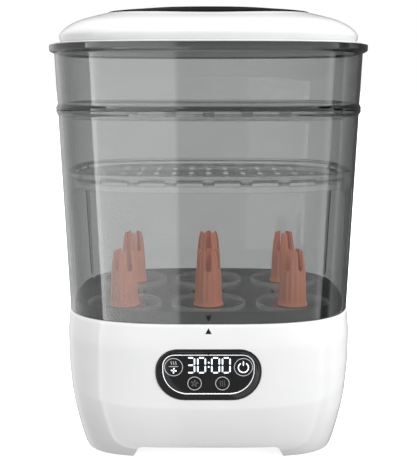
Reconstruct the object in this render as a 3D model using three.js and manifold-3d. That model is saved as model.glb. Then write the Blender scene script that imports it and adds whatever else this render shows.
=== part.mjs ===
// Countertop bottle steriliser and dryer: a white heated base with a touch panel, two smoked
// clear sections stacked on it, three lift-out trays and a domed lid with a black vent panel.
// Millimetres. +Z is up, the front faces -Y, and the origin is the middle of the footprint.
import * as THREE from "three";
import { mergeVertices } from "three/addons/utils/BufferGeometryUtils.js";
import Module from "manifold-3d";

const wasm = await Module();
wasm.setup();

// ---------------------------------------------------------------- driving dimensions
const GAP = 0.3; // between pieces that touch
const FACETS = 32; // round every rounded-rectangle section
const SETBACK = 31.6; // a section's half-width less its half-depth
const SMALL_RATIO = 0.684; // half-depth over half-width, for plans under 100 half-width
const SQUARENESS = 3.1; // superellipse exponent of the sections
const FOOT_SQUARENESS = 4.2; // and of the base, at the table

const ARCH_TOP = 11; // hollow under the front and back of the base
const ARCH_HALF = 60;
const FLOOR = 14; // underside of the base's floor, which the feet carry
const SKIRT_BOTTOM = 1.2; // the white housing stays clear of the table
const BASE_TOP = 126.5;
const BASE_WALL = 3;
// Half-width and height of the white housing, from the table up.
const BASE_SIDE = [
  [113.5, SKIRT_BOTTOM], [116.9, 4], [119.2, 9], [122.4, 24], [125.1, 41], [127.3, 64],
  [128.9, 86], [129.3, 102], [128.7, 115], [127.9, 123],
];
const BASE_RIM = 126.8;
const DECK_HALF = 120.6;

const SECTION_BOTTOM = BASE_TOP + GAP; // where the lower section stands
const SECTION_HALF = 127.2; // its half-width there
const SECTION_TAPER = 0.0383; // and how fast both sections widen upwards
const SECTION_WALL = 2.5;
const SEAM = 305; // the upper section stands on the lower one here
const BEAD = 1.5; // the lips at the seam stand out this far
const RIM_TOP = 360.5;
const RIM_HALF = 140;
const LID_TOP = 396.7;
const INSERT_HALF = 94.8; // black panel in the lid
const VENT_HALF = 60; // opening of the lid under it

const TRAY_HEIGHT = 14.5; // the two upper trays share one shape
const TRAY_HALF = 122;
const TRAY_RIM_HALF = 126.6;
const ACCESSORY_TRAY_BOTTOM = 237.5;
const UPPER_TRAY_BOTTOM = 297;
const LEDGE_TOP = UPPER_TRAY_BOTTOM + 11.2; // step of the upper section that holds its tray
const RIB_Y = 50; // four ribs in the lower section hold the accessory tray
const RIB_INNER_X = 112;
const RIB_THICKNESS = 3;

const BOTTLE_FLOOR = 130; // top face of the bottle tray
const BOTTLE_TRAY_HALF = 123.6;
const BOTTLE_PITCH_X = 75;
const BOTTLE_ROW_Y = 49.5;
const SEAT_RADIUS = 33; // ring that a bottle's mouth stands in
const PRONG_HEIGHT = 53;
const PRONG_FINGERS = 5;
const PEG_RADIUS = 5.6;

const PLATE_Y = -20; // centre of the heating plate
const PLATE_RADIUS = 56;
const DUCT = { half: 17, y0: 46.5, y1: 71.5, wall: 1.5 };
const BLOWER = { x: -17, z: 56, radius: 34, y0: 46.5, y1: 71.5 };
const FILTER = { width: 90, height: 50, depth: 15, z: 56 };
const PANEL = {
  z: 82, width: 91.5, height: 46, top: 19, bottom: 25,
  lensWidth: 80, lensHeight: 36.5, lensTop: 10, lensBottom: 22,
};
const POST = { x: 98, y: 45, radius: 4.5 };
const FOOT = { x: 85, y: 58, radius: 8 };

// ---------------------------------------------------------------- materials
const finish = (color, roughness, metalness = 0) =>
  new THREE.MeshStandardMaterial({ color, roughness, metalness });
const smoked = new THREE.MeshStandardMaterial({
  color: 0x4a4e4d, roughness: 0.12, transparent: true, opacity: 0.5,
});
const white = finish(0xf2f2f2, 0.2);
const black = finish(0x151617, 0.2);
const coral = finish(0xd0714f, 0.4);
const silver = finish(0xd5d6d8, 0.25, 0.9);
const steel = finish(0xb9bcbe, 0.3, 1);
const rubber = finish(0x2a2b2c, 0.85);
const silicone = finish(0xdadada, 0.6);
const copper = finish(0xa86a45, 0.4, 0.8);
const board = finish(0x1f6b45, 0.5);
const grey = finish(0x8d9093, 0.5);
const paper = finish(0xf4f3ee, 0.9);

// ---------------------------------------------------------------- geometry helpers
const mix = (a, b, t) => a + (b - a) * t;
const sectionHalf = (z) => SECTION_HALF + SECTION_TAPER * (z - SECTION_BOTTOM);
const planRatio = (half) => (half > 100 ? (half - SETBACK) / half : SMALL_RATIO);
const sectionForm = { squareness: () => SQUARENESS, ratio: planRatio };
const roundForm = { squareness: () => 2, ratio: () => 1 };
// The base is squarer towards the table.
const baseForm = {
  squareness: (z) => mix(FOOT_SQUARENESS, SQUARENESS, Math.min(1, z / BASE_TOP)),
  ratio: planRatio,
};

function facingOut(geometry) {
  const p = geometry.getAttribute("position");
  const index = geometry.getIndex();
  const [a, b, c] = [new THREE.Vector3(), new THREE.Vector3(), new THREE.Vector3()];
  let volume = 0;
  for (let i = 0; i < index.count; i += 3) {
    a.fromBufferAttribute(p, index.getX(i));
    b.fromBufferAttribute(p, index.getX(i + 1));
    c.fromBufferAttribute(p, index.getX(i + 2));
    volume += a.dot(b.cross(c));
  }
  if (volume < 0) {
    for (let i = 0; i < index.count; i += 3) {
      const kept = index.getX(i);
      index.setX(i, index.getX(i + 2));
      index.setX(i + 2, kept);
    }
  }
  return geometry;
}

// Turns a profile of [half-width, height] pairs about Z, and squares each circle into the
// superellipse |x/a|^n + |y/b|^n = 1 of the form given.
function turned(profile, form = sectionForm, facets = FACETS) {
  const points = profile.map(([r, z]) => new THREE.Vector2(r, z));
  const geometry = new THREE.LatheGeometry(points, facets).rotateX(Math.PI / 2);
  const p = geometry.getAttribute("position");
  for (let i = 0; i < p.count; i++) {
    const z = p.getZ(i);
    const radius = Math.hypot(p.getX(i), p.getY(i));
    if (radius < 1e-6) continue;
    const power = 2 / form.squareness(z);
    const squared = (v) => radius * Math.sign(v) * Math.abs(v / radius) ** power;
    p.setX(i, squared(p.getX(i)));
    p.setY(i, squared(p.getY(i)) * form.ratio(radius));
  }
  return facingOut(geometry);
}
const ring = (profile, form, facets) => turned([...profile, profile[0]], form, facets);

const box = (x0, x1, y0, y1, z0, z1) =>
  new THREE.BoxGeometry(x1 - x0, y1 - y0, z1 - z0)
    .translate((x0 + x1) / 2, (y0 + y1) / 2, (z0 + z1) / 2);
const rodZ = (radius, x, y, z0, z1, facets = 16) =>
  new THREE.CylinderGeometry(radius, radius, z1 - z0, facets)
    .rotateX(Math.PI / 2).translate(x, y, (z0 + z1) / 2);
const rodY = (radius, x, z, y0, y1, facets = 20) =>
  new THREE.CylinderGeometry(radius, radius, y1 - y0, facets).translate(x, (y0 + y1) / 2, z);

function solidOf(geometry) {
  const bare = geometry.clone();
  bare.deleteAttribute("normal");
  bare.deleteAttribute("uv");
  const merged = mergeVertices(bare, 1e-4);
  return new wasm.Manifold(new wasm.Mesh({
    numProp: 3,
    vertProperties: merged.getAttribute("position").array,
    triVerts: Uint32Array.from(merged.getIndex().array),
  }));
}

function geometryOf(solid) {
  const { vertProperties, triVerts } = solid.getMesh();
  const geometry = new THREE.BufferGeometry();
  geometry.setAttribute("position", new THREE.BufferAttribute(vertProperties, 3));
  geometry.setIndex(new THREE.BufferAttribute(triVerts, 1));
  geometry.computeVertexNormals();
  return geometry;
}

const joined = (first, ...others) =>
  geometryOf(others.reduce((solid, other) => solid.add(solidOf(other)), solidOf(first)));
const cut = (body, ...tools) =>
  geometryOf(tools.reduce((solid, tool) => solid.subtract(solidOf(tool)), solidOf(body)));

const model = new THREE.Group();
function piece(name, geometry, material, parent = model) {
  const mesh = new THREE.Mesh(geometry, material);
  mesh.name = name;
  parent.add(mesh);
  return mesh;
}

// A frame on a leaning wall: its X runs along the wall, its Y up it and its Z out of it.
function wallFrame(distance, z, lean, turn = 0) {
  const outer = new THREE.Group();
  outer.rotation.z = turn;
  const frame = new THREE.Group();
  frame.position.set(0, -distance, z);
  frame.rotation.x = Math.PI / 2 + lean;
  outer.add(frame);
  model.add(outer);
  outer.updateMatrixWorld(true);
  return frame;
}
const onWall = (geometry, frame) => geometry.clone().applyMatrix4(frame.matrixWorld);

// A flat-sided outline with one radius for its two top corners and one for its bottom two.
function outline(width, height, top, bottom, grow = 0) {
  const w = width / 2 + grow;
  const h = height / 2 + grow;
  const [t, b] = [top + grow, bottom + grow];
  const shape = new THREE.Shape();
  shape.absarc(w - t, h - t, t, 0, Math.PI / 2);
  shape.absarc(-w + t, h - t, t, Math.PI / 2, Math.PI);
  shape.absarc(-w + b, -h + b, b, Math.PI, 1.5 * Math.PI);
  shape.absarc(w - b, -h + b, b, 1.5 * Math.PI, 2 * Math.PI);
  shape.closePath();
  return shape;
}
function slab(shape, z0, z1, hole = null) {
  const pierced = shape.clone();
  if (hole) pierced.holes.push(hole);
  const flat = { depth: z1 - z0, bevelEnabled: false, curveSegments: 5 };
  return new THREE.ExtrudeGeometry(pierced, flat).translate(0, 0, z0);
}

// ---------------------------------------------------------------- frames on the base walls
const panelLean = THREE.MathUtils.degToRad(4);
const doorLean = THREE.MathUtils.degToRad(6);
const panelFrame = wallFrame(96.8, PANEL.z, panelLean);
const doorFrame = wallFrame(94.6, FILTER.z, doorLean, Math.PI);
const panelShape = (grow) =>
  outline(PANEL.width, PANEL.height, PANEL.top, PANEL.bottom, grow);
const lensShape = (grow) =>
  outline(PANEL.lensWidth, PANEL.lensHeight, PANEL.lensTop, PANEL.lensBottom, grow);
const doorShape = (grow) => outline(FILTER.width, FILTER.height, 6, 6, grow);

// ---------------------------------------------------------------- base
const GLAND = { x: 70, z: 34, radius: 6 };
const POWER_BOARD = [-25, 60, -62, -14];

function archTool() {
  const corner = 8;
  const arch = new THREE.Shape();
  arch.moveTo(-ARCH_HALF - corner, 0);
  arch.lineTo(ARCH_HALF + corner, 0);
  arch.absarc(ARCH_HALF - corner, ARCH_TOP - corner, corner, 0, Math.PI / 2);
  arch.absarc(-ARCH_HALF + corner, ARCH_TOP - corner, corner, Math.PI / 2, Math.PI);
  const through = { depth: 240, bevelEnabled: false, curveSegments: 4 };
  return new THREE.ExtrudeGeometry(arch, through).rotateX(Math.PI / 2).translate(0, 120, 0);
}

function housing() {
  const inner = BASE_SIDE.map(([r, z]) => [r - BASE_WALL, z]).slice(0, 9).reverse();
  const shell = ring([
    ...BASE_SIDE, [BASE_RIM, BASE_TOP], [121, BASE_TOP], [121, 119], ...inner,
  ], baseForm);
  return cut(
    shell,
    archTool(),
    onWall(slab(panelShape(GAP), -12, 12), panelFrame),
    onWall(slab(doorShape(GAP), -12, 12), doorFrame),
    rodY(GLAND.radius + GAP, GLAND.x, GLAND.z, 60, 120),
  );
}

function baseFloor() {
  const plate = turned([[0, FLOOR], [116.6, FLOOR], [116.9, 16.5], [0, 16.5]], baseForm);
  const corners = [[1, 1], [-1, 1], [-1, -1], [1, -1]];
  const [left, right, front, rear] = POWER_BOARD;
  const standoffs = [left + 5, right - 5].flatMap((x) => [front + 5, rear - 5].map((y) =>
    rodZ(3, x, y, 16, 22 - GAP, 8)));
  const holes = corners.map(([i, j]) => rodZ(1.9, i * POST.x, j * POST.y, 10, 20, 8));
  const intake = [0, 10, 20].map((y) => box(-60, -10, y - 2, y + 2, 10, 20));
  return cut(joined(plate, ...standoffs), ...holes, ...intake);
}

function deck() {
  const plate = turned([[0, 119.5], [DECK_HALF, 119.5], [DECK_HALF, 123.2], [0, 123.2]]);
  const corners = [[1, 1], [-1, 1], [-1, -1], [1, -1]];
  const posts = corners.map(([i, j]) => rodZ(POST.radius, i * POST.x, j * POST.y, 16.8, 121, 10));
  const bores = corners.map(([i, j]) => rodZ(1.9, i * POST.x, j * POST.y, 16, 30, 8));
  const inner = DUCT.half - DUCT.wall;
  return cut(
    joined(plate, ...posts),
    rodZ(PLATE_RADIUS + 4, 0, PLATE_Y, 110, 130, 28),
    box(-inner, inner, DUCT.y0 + DUCT.wall, DUCT.y1 - DUCT.wall, 110, 130),
    ...bores,
  );
}

function screw(x, y) {
  const profile = [[0, 11.2], [3.4, 11.2], [3.4, 13.7], [1.6, 13.7], [1.6, 26], [0, 28]];
  return turned(profile, roundForm, 8).translate(x, y, 0);
}

piece("base_housing", housing(), white);
piece("base_floor", baseFloor(), grey);
piece("base_deck", deck(), white);
[["front_left", -1, -1], ["front_right", 1, -1], ["rear_left", -1, 1], ["rear_right", 1, 1]]
  .forEach(([corner, i, j]) => {
    const [x, y] = [i * FOOT.x, j * FOOT.y];
    piece(`rubber_foot_${corner}`, rodZ(FOOT.radius, x, y, 0, FLOOR - GAP, 16), rubber);
    piece(`base_screw_${corner}`, screw(i * POST.x, j * POST.y), steel);
  });
piece("power_gland", ring([
  [3.6, 0], [9, 0], [9, 2], [5.9, 2.3], [5.9, 14], [4.8, 19], [3.6, 19],
], roundForm, 16).rotateX(-Math.PI / 2).translate(GLAND.x, 81, GLAND.z), rubber);

// ---------------------------------------------------------------- heating plate and its parts
const plateAt = (geometry) => geometry.translate(0, PLATE_Y, 0);
piece("heating_plate", plateAt(turned([
  [0, 108], [46, 108], [51, 110], [52.5, 120.4], [PLATE_RADIUS, 121.6],
  [PLATE_RADIUS, 122.8], [51.2, 121.6], [49.6, 111], [45.5, 109.3], [0, 109.3],
], roundForm, 28)), steel);
piece("plate_seal", plateAt(ring([
  [PLATE_RADIUS + GAP, 120], [PLATE_RADIUS + 3.7, 120],
  [PLATE_RADIUS + 3.7, 123.6], [PLATE_RADIUS + GAP, 123.6],
], roundForm, 28)), silicone);
piece("heating_element", plateAt(new THREE.TorusGeometry(36, 4, 8, 28).translate(0, 0, 103.6)), steel);
piece("thermostat", plateAt(rodZ(9, 0, 0, 100.5, 107.6, 14)), black);
piece("thermal_fuse", plateAt(rodY(2.6, 20, 104.9, -8, 8, 8)), paper);

// ---------------------------------------------------------------- blower, heater and duct
function blowerHousing() {
  const { x, z, radius, y0, y1 } = BLOWER;
  const outside = joined(
    rodY(radius, x, z, y0, y1, 24),
    box(-DUCT.half, DUCT.half, y0, y1, z, 92),
    box(x - 14, x + 14, y0, y1, 16.5 + GAP, 30),
  );
  return cut(
    outside,
    rodY(radius - 2, x, z, y0 + 2, y1 - 2, 24),
    box(-DUCT.half + 2, DUCT.half - 2, y0 + 2, y1 - 2, z, 93),
    rodY(17, x, z, y1 - 5, y1 + 5, 20),
    rodY(3, x, z, y0 - 5, y0 + 5, 10),
  );
}

function fanRotor() {
  const { x, z } = BLOWER;
  const blades = 10;
  const [near, far] = [51, 67];
  const parts = [rodY(26, x, z, near, near + 1.8), rodY(6, x, z, near, 62, 12)];
  for (let k = 0; k < blades; k++) {
    const blade = new THREE.BoxGeometry(8, far - near, 1.2)
      .rotateY(0.5).translate(22, (far + near) / 2, 0).rotateY((k * 2 * Math.PI) / blades);
    parts.push(blade.translate(x, 0, z));
  }
  const cage = ring([[24, 0], [26, 0], [26, 2], [24, 2]], roundForm, 20)
    .rotateX(-Math.PI / 2).translate(x, far - 1.2, z);
  return cut(joined(...parts, cage), rodY(2.3, x, z, 40, 60, 10));
}

piece("blower_housing", blowerHousing(), black);
piece("fan_rotor", fanRotor(), grey);
piece("fan_shaft", rodY(2, BLOWER.x, BLOWER.z, 38, 59, 8), steel);
piece("fan_motor", cut(
  rodY(15, BLOWER.x, BLOWER.z, 26, BLOWER.y0 - GAP, 16),
  rodY(2.3, BLOWER.x, BLOWER.z, 36, 60, 10),
), steel);
function dryingHeater() {
  const half = DUCT.half - DUCT.wall - GAP;
  const [y0, y1] = [DUCT.y0 + DUCT.wall + GAP, DUCT.y1 - DUCT.wall - GAP];
  const channels = [-10, -5, 0, 5, 10].map((x) => box(x - 1.5, x + 1.5, y0 + 2, y1 - 2, 90, 115));
  return cut(box(-half, half, y0, y1, 96, 110), ...channels);
}
piece("drying_heater", dryingHeater(), copper);
piece("air_duct", cut(
  box(-DUCT.half, DUCT.half, DUCT.y0, DUCT.y1, 92 + GAP, 119.5 - GAP),
  box(-DUCT.half + DUCT.wall, DUCT.half - DUCT.wall, DUCT.y0 + DUCT.wall, DUCT.y1 - DUCT.wall, 90, 122),
), grey);
function outletGrille() {
  const body = box(-19, 19, DUCT.y0 - 2, DUCT.y1 + 2, 123.2 + GAP, 126);
  const slots = [-12, -6, 0, 6, 12].map((x) => box(x - 1.5, x + 1.5, DUCT.y0 + 1, DUCT.y1 - 1, 120, 130));
  return cut(body, ...slots);
}
piece("air_outlet_grille", outletGrille(), white);

// ---------------------------------------------------------------- filter drawer at the back
function filterCover() {
  const grip = box(-18, 18, -21, -15, 0.4, 6);
  return cut(slab(doorShape(0), -2.2, 0.8), grip);
}
piece("filter_cover", filterCover(), white, doorFrame);
function hepaFilter() {
  const { width, height, depth } = FILTER;
  const block = box(-width / 2 + 2, width / 2 - 2, -height / 2 + 2, height / 2 - 2, -depth - 3, -3);
  const pleats = [];
  for (let x = -36; x <= 36; x += 8) {
    pleats.push(box(x - 1.5, x + 1.5, -height / 2 + 5, height / 2 - 5, -8, 0));
  }
  return cut(block, ...pleats);
}
piece("hepa_filter", hepaFilter(), paper, doorFrame);

// ---------------------------------------------------------------- electronics
const [boardLeft, boardRight, boardFront, boardRear] = POWER_BOARD;
piece("power_board", box(boardLeft, boardRight, boardFront, boardRear, 22, 23.6), board);
piece("transformer", box(20, 46, -52, -26, 23.9, 46), black);
piece("relay", box(-16, 4, -48, -34, 23.9, 39), grey);

const keys = [["mode", -29.7, 6.5, 8], ["power", 29.7, 6.5, 8], ["dry", -11.9, -8, 6.1],
  ["steam", 11.9, -8, 6.1]];
piece("panel_bezel", slab(panelShape(0), -3.6, 0.9, lensShape(GAP)), black, panelFrame);
piece("panel_trim", slab(lensShape(0), -3.2, -0.6, lensShape(-1.2)), silver, panelFrame);
piece("panel_lens", slab(lensShape(-1.5), -3.2, -1), black, panelFrame);
piece("display_module", box(-20, 20, -1.5, 14.5, -10, -3.5), grey, panelFrame);
piece("control_board", slab(lensShape(-2), -12, -10.4), board, panelFrame);
for (const [name, x, y, radius] of keys) {
  const pad = new THREE.CylinderGeometry(radius - 1.5, radius - 3, 6.5, 12)
    .rotateX(Math.PI / 2).translate(x, name === "dry" || name === "steam" ? y - 1.2 : y, -6.8);
  piece(`touch_pad_${name}`, pad, silicone, panelFrame);
}

// ---------------------------------------------------------------- bottle tray and its prongs
const seats = [];
for (const [row, y] of [["front", -BOTTLE_ROW_Y], ["rear", BOTTLE_ROW_Y]]) {
  [["left", -1], ["middle", 0], ["right", 1]].forEach(([column, k]) => {
    seats.push({ name: `prong_${row}_${column}`, x: k * BOTTLE_PITCH_X, y, fingerFront: k !== 0 });
  });
}

function bottleTray() {
  const half = BOTTLE_TRAY_HALF;
  const under = BOTTLE_FLOOR - 2.2;
  const plate = turned([
    [0, under], [half - 2.4, under], [half - 2.4, SECTION_BOTTOM], [half, SECTION_BOTTOM],
    [half, 134], [half - 2, 134], [half - 3.4, BOTTLE_FLOOR], [0, BOTTLE_FLOOR],
  ]);
  const rings = seats.map(({ x, y }) => ring([
    [SEAT_RADIUS - 2, BOTTLE_FLOOR - 1], [SEAT_RADIUS, BOTTLE_FLOOR - 1],
    [SEAT_RADIUS, BOTTLE_FLOOR + 3], [SEAT_RADIUS - 2, BOTTLE_FLOOR + 3],
  ], roundForm, 20).translate(x, y, 0));
  const holes = seats.map(({ x, y }) => rodZ(PEG_RADIUS + GAP, x, y, 120, 140, 10));
  const slots = [-1, 0, 1].flatMap((i) => [-1, 0, 1].map((k) =>
    box(i * BOTTLE_PITCH_X + k * 8 - 1.6, i * BOTTLE_PITCH_X + k * 8 + 1.6, -9, 9, 120, 140)));
  const notches = [[1, 1], [-1, 1], [-1, -1], [1, -1]].map(([i, j]) =>
    box(i * 120 - 9.5, i * 120 + 9.5, j * RIB_Y - 3, j * RIB_Y + 3, 120, 140));
  return cut(joined(plate, ...rings), ...holes, ...slots, ...notches);
}

// A hollow crown: five fingers over a flared foot, with a peg that drops into the tray.
function prong(fingerFront) {
  const top = PRONG_HEIGHT;
  const body = turned([
    [0, -2], [PEG_RADIUS, -2], [PEG_RADIUS, GAP], [13.4, GAP], [13.4, 1.8], [12.1, 3.6],
    [11, 38], [8.6, top], [7.2, top], [9.2, 36], [9.6, 6], [0, 6],
  ], roundForm, 15);
  const slots = [];
  for (let k = 0; k < PRONG_FINGERS; k++) {
    const angle = -Math.PI / 2 + ((k + (fingerFront ? 0.5 : 0)) * 2 * Math.PI) / PRONG_FINGERS;
    slots.push(box(0, 20, -2.4, 2.4, 31, top + 5).rotateZ(angle));
  }
  return cut(body, ...slots);
}

piece("bottle_tray", bottleTray(), smoked);
for (const { name, x, y, fingerFront } of seats) {
  piece(name, prong(fingerFront).translate(x, y, BOTTLE_FLOOR), coral);
}

// ---------------------------------------------------------------- clear sections
function lowerSection() {
  const wall = [SECTION_BOTTOM, 215, SEAM - 4].map((z) => [sectionHalf(z), z]);
  const lip = sectionHalf(SEAM) + BEAD;
  const inner = (z) => [sectionHalf(z) - SECTION_WALL, z];
  const shell = ring([
    ...wall, [lip, SEAM - 1.8], [lip, SEAM], inner(SEAM), inner(215), inner(SECTION_BOTTOM),
  ]);
  const ribs = [-1, 1].flatMap((side) => [-1, 1].map((end) => {
    const [low, high] = [137, ACCESSORY_TRAY_BOTTOM - GAP];
    const shape = new THREE.Shape();
    shape.moveTo(RIB_INNER_X, low);
    shape.lineTo(121, low);
    shape.lineTo(125, high);
    shape.lineTo(RIB_INNER_X, high);
    shape.closePath();
    const flat = { depth: RIB_THICKNESS, bevelEnabled: false };
    return new THREE.ExtrudeGeometry(shape, flat).rotateX(Math.PI / 2)
      .translate(0, RIB_THICKNESS / 2, 0).rotateZ(side < 0 ? Math.PI : 0)
      .translate(0, end * RIB_Y, 0);
  }));
  return joined(shell, ...ribs);
}

function upperSection() {
  const bottom = SEAM + GAP;
  const lip = sectionHalf(SEAM) + BEAD;
  const inner = (z) => [sectionHalf(z) - SECTION_WALL, z];
  return ring([
    [124.2, bottom], [lip, bottom], [lip, bottom + 1.8], [sectionHalf(309), 309],
    [sectionHalf(352.5), 352.5], [RIM_HALF - 1.2, 354.4], [RIM_HALF, 356], [RIM_HALF, RIM_TOP],
    inner(RIM_TOP), inner(LEDGE_TOP + 1), [sectionHalf(LEDGE_TOP) - SECTION_WALL, LEDGE_TOP],
    [124.2, LEDGE_TOP],
  ]);
}

// A shallow tray with a row of steam windows over its floor and a skirt below it.
function tray(bottom) {
  const floor = bottom + 8.8;
  const top = bottom + TRAY_HEIGHT;
  const body = turned([
    [0, floor - 1.5], [TRAY_HALF - 2.4, floor - 1.5], [TRAY_HALF - 2.4, bottom], [TRAY_HALF, bottom],
    [TRAY_HALF + 1.2, top - 3], [TRAY_RIM_HALF, top - 2.4], [TRAY_RIM_HALF, top],
    [TRAY_HALF - 0.6, top], [TRAY_HALF - 1.8, floor], [0, floor],
  ]);
  const windows = [];
  for (const x of [-80, -48, -16, 16, 48, 80]) {
    windows.push(box(x - 11, x + 11, -110, 110, floor + 0.5, floor + 2.6));
  }
  const slots = [-90, -60, -30, 0, 30, 60, 90].map((x) => box(x - 3, x + 3, -50, 50, bottom, top - 4));
  return cut(body, ...windows, ...slots);
}

piece("lower_section", lowerSection(), smoked);
piece("upper_section", upperSection(), smoked);
piece("accessory_tray", tray(ACCESSORY_TRAY_BOTTOM), smoked);
piece("upper_tray", tray(UPPER_TRAY_BOTTOM), smoked);

// ---------------------------------------------------------------- lid
const sideVents = [-1, 1].flatMap((side) => [-22, 0, 22].map((y) =>
  box(side * 107.5 - 6, side * 107.5 + 6, y - 1, y + 1, 375, 395)));

function lidShell() {
  const shell = ring([
    [130.2, 355], [132.4, 355], [132.4, RIM_TOP + GAP], [138.4, RIM_TOP + GAP], [138.7, 362.2],
    [136, 363.6], [134.8, 369], [131.8, 374.4], [126, 380], [117, 384], [105, 387.3],
    [INSERT_HALF + 0.7, 389.3], [INSERT_HALF + 0.7, 387.4], [VENT_HALF, 391.1], [VENT_HALF, 388.6],
    [104, 384], [116, 380.9], [123.5, 377.4], [128.8, 372.4], [131, 366], [130.2, 361],
  ]);
  return cut(shell, ...sideVents);
}

function lidInsert() {
  const half = INSERT_HALF;
  const panel = turned([
    [0, 394.2], [VENT_HALF, 391.5], [half, 387.8], [half, 389.7], [half - 1.5, 390.6],
    [70, 393.6], [40, 395.8], [0, LID_TOP],
  ]);
  const slots = [-24, -16, -8, 0, 8, 16, 24].map((x) => box(x - 1.5, x + 1.5, -13, 13, 380, 400));
  return cut(panel, ...slots);
}

piece("lid_shell", lidShell(), white);
piece("lid_insert", lidInsert(), black);
const bafflePosts = [[66, 0], [-66, 0], [0, 44], [0, -44]].map(([x, y]) =>
  rodZ(2.5, x, y, 379, 387.4, 8));
piece("lid_baffle", joined(turned([
  [0, 379], [72, 377.4], [72, 379], [66, 380.6], [0, 381],
], sectionForm, 24), ...bafflePosts), white);

export default model;
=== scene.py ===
"""Looks of the bottle steriliser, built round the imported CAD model."""

import math

import bmesh
import bpy
from mathutils import Matrix, Vector


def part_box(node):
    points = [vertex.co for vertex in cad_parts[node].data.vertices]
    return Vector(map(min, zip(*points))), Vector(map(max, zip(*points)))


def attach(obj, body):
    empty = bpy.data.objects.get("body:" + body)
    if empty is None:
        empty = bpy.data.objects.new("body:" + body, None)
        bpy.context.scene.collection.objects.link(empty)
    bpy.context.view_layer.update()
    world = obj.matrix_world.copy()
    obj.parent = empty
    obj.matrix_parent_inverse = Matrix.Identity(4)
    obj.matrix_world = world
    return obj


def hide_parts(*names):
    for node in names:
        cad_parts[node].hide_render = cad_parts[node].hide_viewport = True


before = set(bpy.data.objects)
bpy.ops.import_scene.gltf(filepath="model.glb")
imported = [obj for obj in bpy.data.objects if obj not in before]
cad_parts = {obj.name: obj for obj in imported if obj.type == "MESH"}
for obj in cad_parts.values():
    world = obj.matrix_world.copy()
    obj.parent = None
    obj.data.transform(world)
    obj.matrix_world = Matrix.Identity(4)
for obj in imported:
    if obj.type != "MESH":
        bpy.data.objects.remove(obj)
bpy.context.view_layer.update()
MM = 0.001

# ------------------------------------------------------------------ sizes, in millimetres


def span(node):
    """A CAD node's lowest and highest corner in millimetres."""
    low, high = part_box(node)
    return low / MM, high / MM


BASE_TOP = span("base_housing")[1].z
SECTION_BOTTOM = span("lower_section")[0].z
SEAM = span("upper_section")[0].z
RIM_TOP = span("upper_section")[1].z
RIM_HALF = span("upper_section")[1].x
TRAY_FLOOR = 133.0  # the bottle tray's floor, on its upper face

SETBACK = 31.6  # a section's half-width less its half-depth
SMALL_RATIO = 0.684  # its half-depth over its half-width where it is small
SQUARENESS = 3.1  # 2 is an ellipse, and more is squarer
FOOT_SQUARENESS = 3.8  # the same at the foot of the base
WALL = 2.5
WALL_FOOT, WALL_TAPER = 127.2, 0.0383  # the clear wall's half-width at its foot, and how it widens

RING = 160  # points round a section
ROUND = 64  # points round a circle


# ------------------------------------------------------------------ mesh kit
def tidy(mesh, sharp=38):
    """Smooth faces, with hard edges only where the surface really turns."""
    mesh.validate()
    for face in mesh.polygons:
        face.use_smooth = True
    mesh.set_sharp_from_angle(angle=math.radians(sharp))
    return mesh


def link(name, mesh):
    """Puts a mesh in the scene as a new object."""
    obj = bpy.data.objects.new(name, mesh)
    bpy.context.scene.collection.objects.link(obj)
    return obj


def from_bmesh(name, bm, merge=1e-6):
    """A new object from a bmesh, with its faces pointing out."""
    bmesh.ops.remove_doubles(bm, verts=bm.verts, dist=merge)
    bmesh.ops.recalc_face_normals(bm, faces=bm.faces)
    mesh = bpy.data.meshes.new(name)
    bm.to_mesh(mesh)
    bm.free()
    return link(name, tidy(mesh))


def plan_depth(half):
    """Half-depth of a section of that half-width."""
    return half - SETBACK if half > 100 else half * SMALL_RATIO


def section_form(half, z):
    """The plan of the clear sections, the trays and the lid: half-depth and squareness."""
    return plan_depth(half), SQUARENESS


def base_form(half, z):
    """The plan of the base, which is squarer at its foot."""
    share = min(1, max(0, z / BASE_TOP))
    return half - SETBACK, FOOT_SQUARENESS + (SQUARENESS - FOOT_SQUARENESS) * share


def round_form(half, z):
    """A circle."""
    return half, 2


def plan_point(half, depth, squareness, angle):
    """The point of a plan outline in that direction."""
    c, s = math.cos(angle), math.sin(angle)
    reach = (abs(c / half) ** squareness + abs(s / depth) ** squareness) ** (-1 / squareness)
    return reach * c, reach * s


def rounded(points, closed=True, steps=4):
    """Softens the corners of an outline. A point is (u, v) or (u, v, radius)."""
    out = []
    count = len(points)
    for i, point in enumerate(points):
        p = Vector(point[:2])
        radius = point[2] if len(point) > 2 else 0
        inner = closed or 0 < i < count - 1
        if not radius or not inner:
            out.append((p.x, p.y))
            continue
        before = Vector(points[i - 1][:2]) - p
        after = Vector(points[(i + 1) % count][:2]) - p
        half = before.angle(after) / 2
        run = min(radius / math.tan(half), 0.48 * before.length, 0.48 * after.length)
        a = p + before.normalized() * run
        b = p + after.normalized() * run
        for k in range(steps + 1):
            t = k / steps
            q = a * (1 - t) ** 2 + p * 2 * t * (1 - t) + b * t**2
            out.append((q.x, q.y))
    return out


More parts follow.
